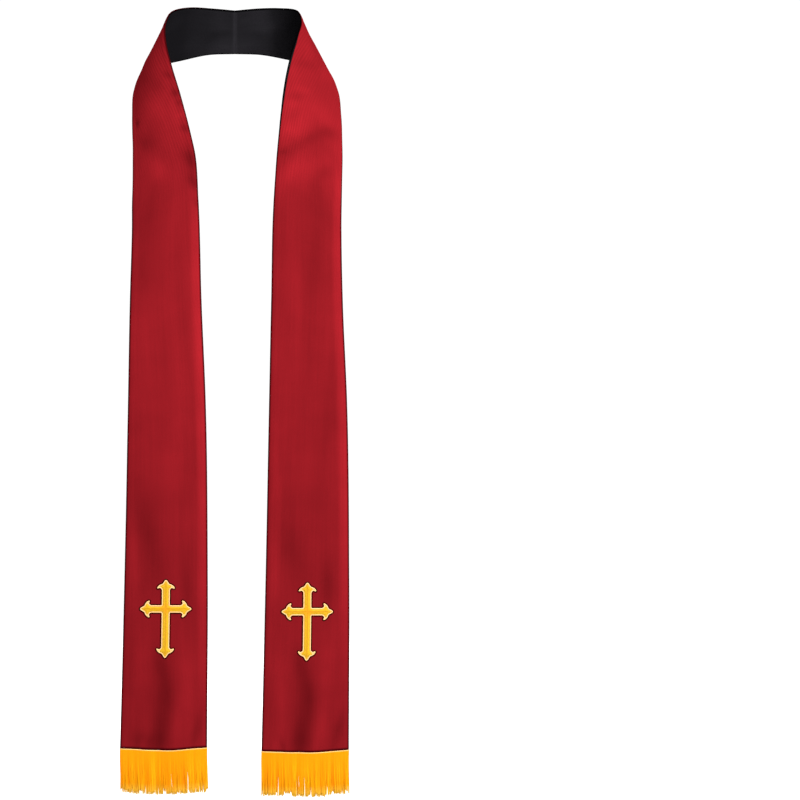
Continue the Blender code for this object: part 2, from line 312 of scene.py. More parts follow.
# The stitching draws the face in at its edge
SEAM_DIP = 0.3
SEAM_DIP_REACH = 0.25

# Where the ridge of the seam allowance starts, and where it ends round the allowance's width
ALLOWANCE_START = (1.6, 3.6)
ALLOWANCE_END = (-1.2, 1.4)

# At the nape each face turns in to the seam: how near it starts, what height it keeps there,
# and how much painted shade the red face and painted highlight the black face gets along the seam,
# over how far
Nape = namedtuple("Nape", "reach least tone tone_reach")

NAPE = {
    "red": Nape(1.7, 0.30, -0.9, 0.9),
    "black": Nape(0.9, 0.75, 1.5, 2.2),
}

# Painted light on the reverse, standing in for the light that falls into the neckband
NeckbandLight = namedtuple("NeckbandLight", "along tone")

PAINTED_NECKBAND_LIGHT = {
    "right": (
        NeckbandLight(0, 0.9),
        NeckbandLight(18, 1.02),
        NeckbandLight(36, 1.38),
        NeckbandLight(46, 1.44),
        NeckbandLight(55, 1.24),
        NeckbandLight(64, 0.85),
        NeckbandLight(90, 0.2),
        NeckbandLight(120, 0),
    ),
    "left": (
        NeckbandLight(0, 0.9),
        NeckbandLight(22, 1.12),
        NeckbandLight(36, 0.95),
        NeckbandLight(60, 0.62),
        NeckbandLight(72, 0.35),
        NeckbandLight(84, 0),
    ),
}

# How far the hem hangs below its straight line, at shares of the width from the neck edge
HemDrop = namedtuple("HemDrop", "share down")

HEM_DROPS = {
    "right": (
        HemDrop(0, 2.9),
        HemDrop(0.15, 3.2),
        HemDrop(0.35, 4),
        HemDrop(0.55, 4.2),
        HemDrop(0.78, 2.6),
        HemDrop(1, 0.6),
    ),
    "left": (
        HemDrop(0, -2.6),
        HemDrop(0.2, -1),
        HemDrop(0.42, 1.1),
        HemDrop(0.62, 0.8),
        HemDrop(0.85, -0.8),
        HemDrop(1, -1.2),
    ),
}
HEM_REACH = 90.0
SEAM_CLOSES = 2.0

# Distances from an edge seam, the nape seam and the hem at which the cloth has its first points
SEAM_POINTS = (0.0, 0.12, 0.32, 0.62, 1.0, 1.5, 2.1, 2.9, 4.2, 6.0, 7.6, 8.8, 10.0, 11.6)
NAPE_POINTS = (0.0, 0.15, 0.4, 0.8, 1.3, 2.0, 3.0)
HEM_POINTS = (0.0, 0.12, 0.35, 0.7, 1.1, 1.5, 2.0, 2.6, 3.3, 4.2, 5.4, 7.0)
MIDDLE_COLUMNS = 30
SHOULDER_LENGTH = 420.0
SHOULDER_STEP = 2.5
PANEL_STEP = 3.4

# Points along each edge from which the cut is measured
CUT_POINTS = 400

# Arms of the cross, clockwise from the top
Arm = namedtuple("Arm", "turn reach half_width leaf_length leaf_spread")

ARMS = (
    Arm(0, 42, 5.7, 1, 0.97),
    Arm(90, 37.3, 5.2, 1.12, 0.92),
    Arm(180, 70.8, 5.7, 1.08, 0.97),
    Arm(270, 37.3, 5.2, 1.12, 0.92),
)

# Half outline of the leaf with its curled barb: back from the tip, and out from the middle
LeafPoint = namedtuple("LeafPoint", "back out")

LEAF = (
    LeafPoint(0, 0),
    LeafPoint(0.8, 1.5),
    LeafPoint(3.2, 3.1),
    LeafPoint(6, 4.9),
    LeafPoint(6.8, 8),
    LeafPoint(8.8, 11.2),
    LeafPoint(11.8, 13.3),
    LeafPoint(13.2, 12.8),
    LeafPoint(12.2, 10.8),
    LeafPoint(11.4, 8.6),
    LeafPoint(13.8, 6.2),
)

CROSS_ABOVE_HEM = {"left": 203.0, "right": 199.0}
CROSS_CLEARANCE = 0.02
ARM_ENDS = 13.0
BARB_OUT = 7.6

# Steps between points along the rim and over the padded middle
RIM_STEP = 0.7
RIM_RING = 8
FILL_STEP = 1.0
ROW_STEP = 0.87

# How far in from the outline the rim and the panel lie, as shares of the rim's width
RIM_INSET = 0.46
PANEL_INSET = 0.62
RIM_FOOT = 0.35

# The fine dark thread round the rim, which also stands in for the shadow round the cross (painted
# shadow):
# its width, how far out it lies as a share of that, and the heights of its middle and its top
EDGE_THREAD = 2.2
EDGE_THREAD_OUTSET = 0.36
EDGE_THREAD_FOOT = 0.12
EDGE_THREAD_TOP = 0.4

# The padding rises from the rim over a few tenths, with a groove along the middle of each arm
PANEL_EDGE = 0.3
PAD_START = 0.45
PAD_CURVE = 1.5
GROOVE_WIDTH = 1.1
GROOVE_DEPTH = 0.28
GROOVE_START = (0.8, 3.2)

# Points down a thread of the fringe, with the share of its width that it has there
ThreadPoint = namedtuple("ThreadPoint", "share taper")

THREAD = (
    ThreadPoint(0, 1),
    ThreadPoint(0.04, 1),
    ThreadPoint(0.12, 1),
    ThreadPoint(0.22, 1),
    ThreadPoint(0.34, 0.98),
    ThreadPoint(0.46, 0.95),
    ThreadPoint(0.58, 0.92),
    ThreadPoint(0.70, 0.89),
    ThreadPoint(0.82, 0.86),
    ThreadPoint(0.92, 0.8),
    ThreadPoint(1, 0.62),
)
RING = 6
RING_TURNS = np.arange(RING) * 2 * math.pi / RING
THREAD_FLATNESS = 0.85
THREAD_START = 0.6

# Rows of threads behind each other: height over the middle, and how much shorter the row is
ThreadRow = namedtuple("ThreadRow", "lift shorter")

THREAD_ROWS = (
    ThreadRow(0.95, 0),
    ThreadRow(0.35, 1),
    ThreadRow(-0.35, 1.4),
    ThreadRow(-0.95, 0.2),
)

# Threads hang in locks, which sway, stand out and are cut together
Lock = namedtuple("Lock", "sway out short phase shade")

LOCK_SWAY = 0.3
LOCK_OUT = 0.4
LOCK_PHASES = 6.3
LOCK_THREADS = (2, 3, 4, 5, 6)
LOCK_CUTS = (0.0, 0.3, 0.6, 0.9, 1.3, 1.8, 2.6, 5.0)

# How far each single thread strays from its lock
THREAD_SWAY = 0.7
THREAD_OUT = 0.3
THREAD_CUT = 1.6

# The whole fringe fans out and sways a little, and its locks curl below the heading
FRINGE_SEEDS = {"left": 11, "right": 23}
FRINGE_FAN = 0.4
FRINGE_SWAY = 1.7
FRINGE_PAST = 2.4
HEADING_HELD = 0.55
CURL = 0.4
CURL_TURN = 0.085
CURL_LOSS = 0.4

# The cord of two plies that is sewn along the hem on each side
CORD_RINGS = 260
CORD_RADIUS = 0.48
CORD_TWIST = 0.3
CORD_PITCH = 2.4
CORD_PAST = 0.3
CORD_BELOW_HEM = 0.8
CORD_LEVEL = 1.026


class ClothSettings(bpy.types.PropertyGroup):
    """Sizes and colours of the two satin faces."""

    half_thickness: FloatProperty(
        name="Half thickness", description="From the middle of the cloth to either face",
        default=0.00115, unit="LENGTH")
    shell: FloatProperty(
        name="Satin", description="Thickness of one layer of satin",
        default=0.00028, unit="LENGTH")
    edge_round: FloatProperty(
        name="Edge roll", description="How far in from the edge the rolled edge reaches",
        default=0.0017, unit="LENGTH")
    allowance: FloatProperty(
        name="Seam allowance", description="Width of the turned-in cloth along each edge",
        default=0.009, unit="LENGTH")
    allowance_rise: FloatProperty(
        name="Allowance rise", description="How much the turned-in cloth lifts the face",
        default=0.00032, unit="LENGTH")
    rib_pitch: FloatProperty(
        name="Rib pitch", description="Distance between the soft ribs over the shoulders",
        default=0.0042, unit="LENGTH")
    thread_pitch: FloatProperty(
        name="Thread pitch", description="Distance between the threads across",
        default=0.00045, unit="LENGTH")
    red: FloatVectorProperty(
        name="Red", description="Colour of the outer face", subtype="COLOR", size=3,
        default=(0.181, 0.0066, 0.0099), min=0.0, max=1.0)
    black: FloatVectorProperty(
        name="Black", description="Colour of the reverse", subtype="COLOR", size=3,
        default=(0.0060, 0.0056, 0.0066), min=0.0, max=1.0)


class FringeSettings(bpy.types.PropertyGroup):
    """Sizes and colours of the two fringes."""

    threads: IntProperty(
        name="Threads a row", description="Threads side by side in one row", default=134)
    thread_width: FloatProperty(
        name="Thread width", description="Diameter of a thread near its root",
        default=0.00112, unit="LENGTH")
    drop: FloatProperty(
        name="Drop", description="From the hem to the cut ends", default=0.0655, unit="LENGTH")
    heading: FloatProperty(
        name="Heading", description="Height in which the threads lie side by side",
        default=0.014, unit="LENGTH")
    gold: FloatVectorProperty(
        name="Gold", description="Colour of the threads", subtype="COLOR", size=3,
        default=(0.665, 0.25, 0.001), min=0.0, max=1.0)
    cord: FloatVectorProperty(
        name="Heading cord", description="Colour of the fine cord along the hem",
        subtype="COLOR", size=3, default=(0.80, 0.44, 0.13), min=0.0, max=1.0)


class CrossSettings(bpy.types.PropertyGroup):
    """Sizes and colours of the four embroidered crosses."""

    rim_width: FloatProperty(
        name="Rim width", description="Width of the satin-stitched rim",
        default=0.0017, unit="LENGTH")
    rim_height: FloatProperty(
        name="Rim height", description="How high the rim stands over the cloth",
        default=0.0014, unit="LENGTH")
    fill_height: FloatProperty(
        name="Fill height", description="How high the padded middle stands over the cloth",
        default=0.0019, unit="LENGTH")
    fill: FloatVectorProperty(
        name="Fill", description="Colour of the padded middle", subtype="COLOR", size=3,
        default=(0.53, 0.30, 0.011), min=0.0, max=1.0)
    rim: FloatVectorProperty(
        name="Rim", description="Colour of the stitched rim", subtype="COLOR", size=3,
        default=(0.78, 0.49, 0.21), min=0.0, max=1.0)
    # The dark thread round each cross also stands in for the shadow round the embroidery (painted
    # shadow)
    dark_thread_and_shadow: FloatVectorProperty(
        name="Edge thread", description="Colour of the fine dark thread round the cross",
        subtype="COLOR", size=3, default=(0.035, 0.002, 0.001), min=0.0, max=1.0)


class StageSettings(bpy.types.PropertyGroup):
    """The floor, the light and the camera."""

    floor_level: FloatProperty(
        name="Floor", description="Height of the floor", default=-1.30, unit="LENGTH")
    distance: FloatProperty(
        name="Camera distance", description="From the neck's axis to the camera",
        default=3.0, unit="LENGTH")
    eye_level: FloatProperty(
        name="Camera height", description="Height of the camera", default=-0.5667,
        unit="LENGTH")
    focal_length: FloatProperty(
        name="Focal length", description="Of the camera's lens, in millimetres", default=90.0)
    frame_shift: FloatProperty(
        name="Frame shift", description="Sets the stole in the left part of the picture",
        default=0.20625)
    top_strength: FloatProperty(
        name="Top light", description="Strength of the soft light from above", default=4.0)
    key_power: FloatProperty(
        name="Main light", description="Power of the large softbox, in watts", default=78.0)
    sky_strength: FloatProperty(
        name="Fill light", description="Strength of the even light", default=0.5)


# Softboxes: where each hangs, its share of the main light's power, and whether it gives glints
Softbox = namedtuple("Softbox", "name place power glint")

SOFTBOXES = (
    Softbox("softbox front", (1.35, -2.0, 0.45), 1.0, True),
    Softbox("softbox back", (0.35, 2.5, 0.9), 1.2, False),
)
SOFTBOX_SIZE = 1.1
SOFTBOX_AIM = (0.0, -0.1, -0.45)
TOP_LIGHT_FROM = (0.15, -0.30, 0.94)
TOP_LIGHT_ANGLE = 40.0
WHITE_SEEN = 1.05
SENSOR_WIDTH = 36.0
FLOOR_FRONT = 1.2
FLOOR_REACH = 60.0


def slopes(values, knots):
    """The direction of the smooth line through the values at each of its knots."""
    steps = np.diff(knots)[:, None]
    ramps = np.diff(values, axis=0) / steps
    inner = (ramps[:-1] * steps[1:] + ramps[1:] * steps[:-1]) / (steps[:-1] + steps[1:])
    return np.concatenate([ramps[:1], inner, ramps[-1:]])


def smooth(values, knots, at):
    """The values at distances along the smooth line through the knots, straight past its end."""
    lead = slopes(values, knots)
    index = np.clip(np.searchsorted(knots, at, side="right") - 1, 0, len(knots) - 2)
    span = (knots[index + 1] - knots[index])[:, None]
    past = np.maximum(at - knots[-1], 0.0)[:, None]
    u = (np.minimum(at, knots[-1]) - knots[index])[:, None] / span
    start = values[index] * (2 * u**3 - 3 * u**2 + 1)
    start_lead = lead[index] * (span * (u**3 - 2 * u**2 + u))
    end = values[index + 1] * (3 * u**2 - 2 * u**3)
    end_lead = lead[index + 1] * (span * (u**3 - u**2))
    return start + start_lead + end + end_lead + lead[-1] * past


def blend_over(low, high, at):
    """Goes softly from 0 at low to 1 at high."""
    u = np.clip((at - low) / (high - low), 0.0, 1.0)
    return u * u * (3 - 2 * u)


def to_unit(rows):
    return rows / np.linalg.norm(rows, axis=1, keepdims=True)


class Half:
    """The smooth middle sheet of one half of the stole, between its red and its black face."""

    def __init__(self, name):
        sections = SECTIONS[name]
        self.name = name
        self.side = 1.0 if name == "right" else -1.0
        self.folds = FOLDS[name] + CREASES[name]
        self.neck = np.array([(row.neck_out, row.neck_back, row.neck_up) for row in sections])
        self.edge = np.array([(row.edge_out, row.edge_back, row.edge_up) for row in sections])
        self.bow = np.array([(row.bow,) for row in sections])
        neck_steps = np.linalg.norm(np.diff(self.neck, axis=0), axis=1)
        edge_steps = np.linalg.norm(np.diff(self.edge, axis=0), axis=1)
        self.knots = np.concatenate([[0.0], np.cumsum((neck_steps + edge_steps) / 2)])
        self.length = float(self.knots[-1])

    def ends(self, along):
        """The neck edge and the outer edge at distances along from the nape seam."""
        return smooth(self.neck, self.knots, along), smooth(self.edge, self.knots, along)

    def width(self, along):
        neck, edge = self.ends(along)
        return np.linalg.norm(edge - neck, axis=1)

    def flat_point(self, along, share):
        neck, edge = self.ends(along)
        return neck + (edge - neck) * share[:, None]

    def flat_normal(self, along, share):
        """The way out of the red face, before bows and folds."""
        neck, edge = self.ends(along)
        start = self.flat_point(np.maximum(along - PROBE, 0.0), share)
        onward = self.flat_point(along + PROBE, share) - start
        return to_unit(np.cross(onward, edge - neck))

    def rise(self, along, share):
        """How far bows, folds and creases carry the sheet out of its straight section."""
        along = np.minimum(along, self.length)
        bow = smooth(self.bow, self.knots, along)[:, 0] * (1 - (2 * share - 1) ** 2)
        return bow + self.crease(along, share, self.folds)

    def crease(self, along, share, folds):
        """What the folds alone add, positive on a ridge of the red face."""
        across = share * self.width(along)
        total = np.zeros(len(along))
        for fold in folds:
            turn = math.radians(fold.lean)
            down = along - fold.along
            over = across - fold.across
            lengthwise = (down * math.cos(turn) + over * math.sin(turn)) / fold.half_length
            crosswise = (over * math.cos(turn) - down * math.sin(turn)) / fold.half_width
            total += fold.rise * np.exp(-lengthwise**2 - crosswise**2)
        return total

    def painted_crease_shading(self, along, share):
        """Painted light on the red face's ridges and painted shade in its hollows, in which the main
        folds count for less.
        """
        short = [fold for fold in FOLDS[self.name] if fold.half_length < LONG_FOLD]
        creased = self.crease(along, share, CREASES[self.name])
        return (creased + MAIN_FOLD_SHARE * self.crease(along, share, short)) / FULLY_PAINTED_CREASE

    def sheet(self, along, share):
        normal = self.flat_normal(along, share)
        return self.flat_point(along, share) + normal * self.rise(along, share)[:, None]

    def lifted(self, along, across, lift):
        """Points at heights over the middle sheet, positive towards the red face, in metres."""
        width = self.width(along)
        share = across / width
        probe = PROBE / width
        start = self.sheet(np.maximum(along - PROBE, 0.0), share)
        onward = self.sheet(along + PROBE, share) - start
        sideways = self.sheet(along, share + probe) - self.sheet(along, share - probe)
        normal = np.cross(onward, sideways)
        normal[along == 0.0, 0] = 0.0
        points = self.sheet(along, share) + to_unit(normal) * lift[:, None]
        apart = SEAM_GAP / 2 * blend_over(0.0, SEAM_CLOSES, along)
        points[:, 0] = self.side * (points[:, 0] + apart)
        return points * MM

    def dipped(self, along, across):
        """The hem isn't quite straight: distances along, moved with it near the hem."""
        share = across / self.width(np.minimum(along, self.length))
        spots = np.array([drop.share for drop in HEM_DROPS[self.name]])
        drops = np.array([(drop.down,) for drop in HEM_DROPS[self.name]])
        down = smooth(drops, spots, np.clip(share, 0.0, 1.0))[:, 0]
        return along + down * blend_over(self.length - HEM_REACH, self.length, along)


def new_piece(name, points, faces, materials):
    """Puts one mesh piece in the scene, smooth shaded."""
    mesh = bpy.data.meshes.new(name)
    mesh.from_pydata([tuple(point) for point in points], [], [tuple(face) for face in faces])
    mesh.validate()
    for material in materials:
        mesh.materials.append(material)
    mesh.shade_smooth()
    piece = bpy.data.objects.new(name, mesh)
    bpy.context.scene.collection.objects.link(piece)
    return piece


def mark(piece, name, values):
    """Stores a vector at every point of a piece for its material to read."""
    layer = piece.data.attributes.new(name, "FLOAT_VECTOR", "POINT")
    layer.data.foreach_set("vector", np.asarray(values, dtype=np.float32).ravel())


def grid_faces(rows, columns, flip):
    """Quads over a grid of points that are listed row by row."""
    corner = (np.arange(rows - 1)[:, None] * columns + np.arange(columns - 1)).ravel()
    faces = np.stack([corner, corner + columns, corner + columns + 1, corner + 1], axis=1)
    return faces[:, ::-1] if flip else faces


def recalculate_outside(piece):
    """Turns the faces of closed solids outwards."""
    drawing = bmesh.new()
    drawing.from_mesh(piece.data)
    bmesh.ops.recalc_face_normals(drawing, faces=drawing.faces)
    drawing.to_mesh(piece.data)
    drawing.free()


# Cloth


def cloth_stations(length):
    """Distances along of the rows of points, closer at the nape and over the shoulder."""
    start = list(NAPE_POINTS)
    shoulder = np.arange(start[-1] + SHOULDER_STEP, SHOULDER_LENGTH, SHOULDER_STEP)
    steps = round((length - shoulder[-1]) / PANEL_STEP)
    panel = np.linspace(shoulder[-1], length, steps + 1)[1:]
    return np.concatenate([start, shoulder, panel])


def rolled_edge(reach, dip, sizes):
    """Inset from the edge and height over the middle, at distances round the rolled edge."""
    deep = sizes.half_thickness / MM
    wide = sizes.edge_round / MM
    quarter = math.pi / 2 * math.sqrt((deep**2 + wide**2) / 2)
    turn = np.clip(reach / quarter, -1.0, 1.0) * math.pi / 2
    inset = wide - (wide - dip) * np.cos(turn) + np.maximum(np.abs(reach) - quarter, 0.0)
    return inset, (deep - dip) * np.sin(turn)


def end_roll(distance, reach, least):
    """Share of its height that the face keeps where it turns in at the nape."""
    inside = 1 - np.clip(distance / reach, 0.0, 1.0)
    return least + (1 - least) * np.sqrt(1 - inside**2)


def allowance_lift(distance, sizes):
    """The low ridge over the seam allowance inside an edge."""
    width = sizes.allowance / MM
    starts = blend_over(*ALLOWANCE_START, distance)
    ends = blend_over(width + ALLOWANCE_END[0], width + ALLOWANCE_END[1], distance)
    return starts * (1 - ends) * sizes.allowance_rise / MM


def edge_turn(half, edge, along, distance):
    """How far an edge turns back there, and the painted strip along it: painted highlight on the lit
    edge, painted shade on the other.
    """
    places = [turn.along for turn in TURNS[half.name]]
    depths = [getattr(turn, edge) for turn in TURNS[half.name]]
    near = np.clip(1 - distance / TURN_REACH, 0.0, 1.0)
    depth = np.interp(along, places, depths)
    tone = PAINTED_EDGE_HIGHLIGHT if LIT_EDGE[half.name] == edge else PAINTED_EDGE_SHADE
    # Painted highlight along the lit edge, painted shade along the other
    shade = tone * np.clip(depth, -1.0, 1.0) * blend_over(0.0, TURN_FADE, near)
    return depth * near**2, shade


def seam_dip(distances):
    """How far the stitching draws a face in, at distances from its edge."""
    return SEAM_DIP * np.exp(-((np.array(distances) / SEAM_DIP_REACH) ** 2))


def face_rows(half, direction, sizes):
    """Distances along of a face's rows of points, and the share of its height each row has."""
    reach = HEM_ROLL * direction + np.array(HEM_POINTS)
    inset, lift = rolled_edge(reach, seam_dip(HEM_POINTS), sizes)
    upper = cloth_stations(half.length - inset[-1])
    rows = np.concatenate([upper, half.length - inset[-2::-1]])
    share = np.ones(len(rows))
    share[len(upper):] = lift[-2::-1] / (sizes.half_thickness / MM)
    return rows, share[:, None]


def face_columns(half, direction, rows, widths, sizes):
    """Distances across of the points in every row, and their heights over the middle sheet."""
    rolls = ROLLS[half.name]
    places = [roll.along for roll in rolls]
    edges = []
    for edge in ("neck", "edge"):
        start = np.interp(rows, places, [getattr(roll, edge) for roll in rolls]) * direction
        reach = start[:, None] + np.array(SEAM_POINTS)
        edges.append(rolled_edge(reach, seam_dip(SEAM_POINTS), sizes))
    (neck_in, neck_lift), (outer_in, outer_lift) = edges
    shares = np.arange(1, MIDDLE_COLUMNS + 1) / (MIDDLE_COLUMNS + 1)
    first = neck_in[:, -1:]
    last = widths - outer_in[:, -1:]
    middle = first + (last - first) * shares
    across = np.concatenate([neck_in, middle, widths - outer_in[:, ::-1]], axis=1)
    top = np.full(middle.shape, sizes.half_thickness / MM)
    return across, np.concatenate([neck_lift, top, outer_lift[:, ::-1]], axis=1)


def face_painted_shading(half, direction, along, share, painted_edge_shading, from_edge):
    """Painted light and shade of a face at its points, from -2 for painted shade in the seams to 2
    for painted light where the light falls.
    """
    nape = NAPE["red" if direction > 0 else "black"]
    painted_along_length = TURNS[half.name] if direction > 0 else PAINTED_NECKBAND_LIGHT[half.name]
    # Painted light on the ridges and painted shade in the hollows of the creases
    tone = np.tanh(half.painted_crease_shading(along, share) * direction)
    # Painted highlight and shade strips along the edges, weaker on the black face
    tone += painted_edge_shading * (1.0 if direction > 0 else BLACK_PAINTED_EDGE_SHARE)
    # Painted shade along the nape seam on the red face, a painted highlight along it on the black
    tone += nape.tone * np.exp(-((along / nape.tone_reach) ** 2))
    # Painted light along the length and painted shade where negative: the turns on the red face, the
    # neckband on the black
    tone += np.interp(along, [spot.along for spot in painted_along_length], [spot.tone for spot in painted_along_length])
    # Painted shade in the seams and along the hem
    inside = np.minimum(from_edge, (half.length - along) * HEM_SHADE)
    return tone + (PAINTED_SEAM_SHADE - tone) * (1 - blend_over(*SEAM_SHADE, inside))


def make_face(name, half, direction, material, sizes):
    """One satin face of one half, from seam to seam, on its own side of the sheet."""
    nape = NAPE["red" if direction > 0 else "black"]
    rows, hem_share = face_rows(half, direction, sizes)
    widths = half.width(rows)[:, None]
    across, lift = face_columns(half, direction, rows, widths, sizes)
    from_neck = np.maximum(across, 0.0)
    from_outer = np.maximum(widths - across, 0.0)
    from_edge = np.minimum(from_neck, from_outer)
    lift = lift + allowance_lift(from_edge, sizes) * np.clip(lift, 0.0, 1.0)
    lift = lift * end_roll(rows, nape.reach, nape.least)[:, None]
    lift = np.where(hem_share < 0, np.abs(lift), lift) * hem_share
    columns = across.shape[1]
    along = np.repeat(rows, columns)
    # How far the edges turn back, and the painted highlight and shade strips along them
    neck_turn, neck_painted_shading = edge_turn(half, "neck", along, from_neck.ravel())
    outer_turn, outer_painted_shading = edge_turn(half, "edge", along, from_outer.ravel())
    height = direction * lift.ravel() - neck_turn - outer_turn
    share = (across / widths).ravel()
    # Painted light and shade of the face
    tone = face_painted_shading(half, direction, along, share, neck_painted_shading + outer_painted_shading, from_edge.ravel())
    across = across.ravel()
    points = half.lifted(half.dipped(along, across), across, height)
    flip = half.side * direction < 0
    piece = new_piece(name, points, grid_faces(len(rows), columns, flip), [material])
    # The third mark carries the painted light and shade of the face
    mark(piece, "lay", np.stack([across * MM, along * MM, tone], axis=1))
    wall = piece.modifiers.new("Satin", "SOLIDIFY")
    wall.thickness = sizes.shell
    wall.offset = -1.0
    return piece


def cut_of(half):
    """Width and length of the smallest rectangle round the cut, and the cut's area, in metres."""
    along = np.linspace(0.0, half.length, CUT_POINTS)
    neck, edge = half.ends(along)
    lengths = [np.linalg.norm(np.diff(line, axis=0), axis=1).sum() for line in (neck, edge)]
    first = np.linalg.norm(np.cross(neck[1:] - neck[:-1], edge[:-1] - neck[:-1]), axis=1) / 2
    second = np.linalg.norm(np.cross(edge[1:] - edge[:-1], edge[1:] - neck[1:]), axis=1) / 2
    area = (first.sum() + second.sum()) * MM * MM
    return float(half.width(along).max()) * MM, max(lengths) * MM, float(area)


# Fringe


def fringe_locks(count, draw):
    """The lock that each of the threads side by side hangs in, the same for every row."""
    locks = []
    while len(locks) < count:
        lock = Lock(draw.gauss(0.0, LOCK_SWAY), draw.gauss(0.0, LOCK_OUT),
                    draw.choice(LOCK_CUTS), draw.uniform(0.0, LOCK_PHASES),
                    draw.uniform(0.0, 1.0))
        locks += [lock] * draw.choice(LOCK_THREADS)
    return locks[:count]


def fringe_paths(half, width, sizes, draw):
    """Middle line of each thread as distances along, across and lift, and its shade."""
    pitch = width / sizes.threads
    drop = sizes.drop / MM
    held = sizes.heading / MM * HEADING_HELD
    steps = np.array([point.share for point in THREAD])
    locks = fringe_locks(sizes.threads, draw)
    paths = []
    for row in THREAD_ROWS:
        for k, lock in enumerate(locks):
            middle = (k + 0.5) * pitch
            fan = (middle / width - 0.5) * FRINGE_FAN + half.side * FRINGE_SWAY
            tip = drop - row.shorter - lock.short - abs(draw.gauss(0.0, THREAD_CUT))
            run = THREAD_START + steps * (tip - THREAD_START)
            loose = blend_over(held, drop, run)
            sway = (lock.sway + draw.gauss(0.0, THREAD_SWAY)) * loose**2 + fan * loose
            curl = CURL * np.sin(lock.phase + run * CURL_TURN) * loose * (1 - CURL_LOSS * loose)
            out = (lock.out + draw.gauss(0.0, THREAD_OUT)) * loose
            across = np.clip(middle + sway + curl, -FRINGE_PAST, width + FRINGE_PAST)
            path = np.stack([half.length + run, across, row.lift + out], axis=1)
            paths.append((path, (lock.shade + draw.uniform(0.0, 1.0)) / 2))
    return paths


def thread_tube(path, shade, half, sizes):
    """Points round one thread: along, across and lift, and its three marks."""
    radius = sizes.thread_width / MM / 2 * np.array([[point.taper] for point in THREAD])
    along = np.repeat(path[:, 0], RING)
    across = path[:, 1:2] + radius * np.cos(RING_TURNS)
    lift = path[:, 2:3] + radius * np.sin(RING_TURNS) * THREAD_FLATNESS
    down = (along - half.length) / (sizes.drop / MM)
    same = np.full(len(along), shade)
    return np.stack([along, across.ravel(), lift.ravel(), same, down, same], axis=1)


def cord_tube(half, width, level, phase):
    """Points round one ply of the cord along the hem, with the same columns as a thread's."""
    spots = np.linspace(-CORD_PAST, width + CORD_PAST, CORD_RINGS)
    spin = spots * 2 * math.pi / CORD_PITCH + phase
    below = half.length + CORD_BELOW_HEM + CORD_TWIST * np.cos(spin)
    along = below[:, None] + CORD_RADIUS * np.cos(RING_TURNS)
    lift = (level + CORD_TWIST * np.sin(spin))[:, None] + CORD_RADIUS * np.sin(RING_TURNS)
    across = np.repeat(spots, RING)
    same = np.full(len(across), 0.5)
    return np.stack([along.ravel(), across, lift.ravel(), same, same * 0.0, across / width], axis=1)


def tube_faces(first, rings):
    """Faces of a closed tube whose rings of points follow each other from a first point."""
    ring = np.arange(RING)
    faces = []
    for base in range(first, first + (rings - 1) * RING, RING):
        for a in ring:
            b = (a + 1) % RING
            faces.append((base + a, base + RING + a, base + RING + b, base + b))
    faces.append(tuple(first + ring[::-1]))
    faces.append(tuple(first + (rings - 1) * RING + ring))
    return faces


def make_fringe(name, half, materials, sizes):
    """Threads in four rows behind each other, and a fine cord on each side of their heads."""
    draw = random.Random(FRINGE_SEEDS[half.name])
    width = float(half.width(np.array([half.length]))[0])
    paths = fringe_paths(half, width, sizes, draw)
    tubes = [(thread_tube(path, shade, half, sizes), 0) for path, shade in paths]
    for level in (CORD_LEVEL, -CORD_LEVEL):
        tubes += [(cord_tube(half, width, level, phase), 1) for phase in (0.0, math.pi)]
    faces = []
    slots = []
    first = 0
    for tube, slot in tubes:
        faces += tube_faces(first, len(tube) // RING)
        slots += [slot] * (len(faces) - len(slots))
        first += len(tube)
    table = np.concatenate([tube for tube, slot in tubes])
    across = table[:, 1]
    points = half.lifted(half.dipped(table[:, 0], across), across, table[:, 2])
    piece = new_piece(name, points, faces, materials)
    mark(piece, "lay", table[:, 3:])
    piece.data.polygons.foreach_set("material_index", slots)
    recalculate_outside(piece)
    return piece


# Crosses


def cross_outline():
    """The cross in its own plane, clockwise from the corner left of the top arm."""
    outline = []
    for i, arm in enumerate(ARMS):
        turn = math.radians(arm.turn)
        onward = Vector((math.sin(turn), math.cos(turn)))
        right = Vector((math.cos(turn), -math.sin(turn)))
        before = ARMS[i - 1]
        outline.append(onward * before.half_width - right * arm.half_width)
        leaf = []
        for point in LEAF[:-1]:
            leaf.append((arm.reach - point.back * arm.leaf_length, point.out * arm.leaf_spread))
        leaf.append((arm.reach - LEAF[-1].back * arm.leaf_length, arm.half_width))
        outline += [onward * up - right * out for up, out in reversed(leaf[1:])]
        outline += [onward * up + right * out for up, out in leaf]
    return np.array([tuple(point) for point in outline])


def even_steps(loop, step):
    """The closed line cut into even steps."""
    closed = np.concatenate([loop, loop[:1]])
    lengths = np.concatenate([[0.0], np.cumsum(np.linalg.norm(np.diff(closed, axis=0), axis=1))])
    spots = np.linspace(0.0, lengths[-1], max(8, round(lengths[-1] / step)), endpoint=False)
    return np.stack([np.interp(spots, lengths, closed[:, i]) for i in (0, 1)], axis=1)


def relaxed(loop, passes):
    """The closed line with its corners rounded a little."""
    for _ in range(passes):
        loop = (np.roll(loop, 1, axis=0) + 2 * loop + np.roll(loop, -1, axis=0)) / 4
    return loop


def inward(loop, distance):
    """The clockwise line moved inwards."""
    lead = to_unit(np.roll(loop, -1, axis=0) - np.roll(loop, 1, axis=0))
    return loop + np.stack([lead[:, 1], -lead[:, 0]], axis=1) * distance


def from_line(points, loop):
    """Distance of each point from the closed line."""
    ends = np.roll(loop, -1, axis=0)
    steps = ends - loop
    squares = np.maximum((steps**2).sum(axis=1), 1e-12)
    away = points[:, None, :] - loop[None, :, :]
    u = np.clip((away * steps).sum(axis=2) / squares, 0.0, 1.0)
    return np.sqrt(((away - u[:, :, None] * steps) ** 2).sum(axis=2).min(axis=1))


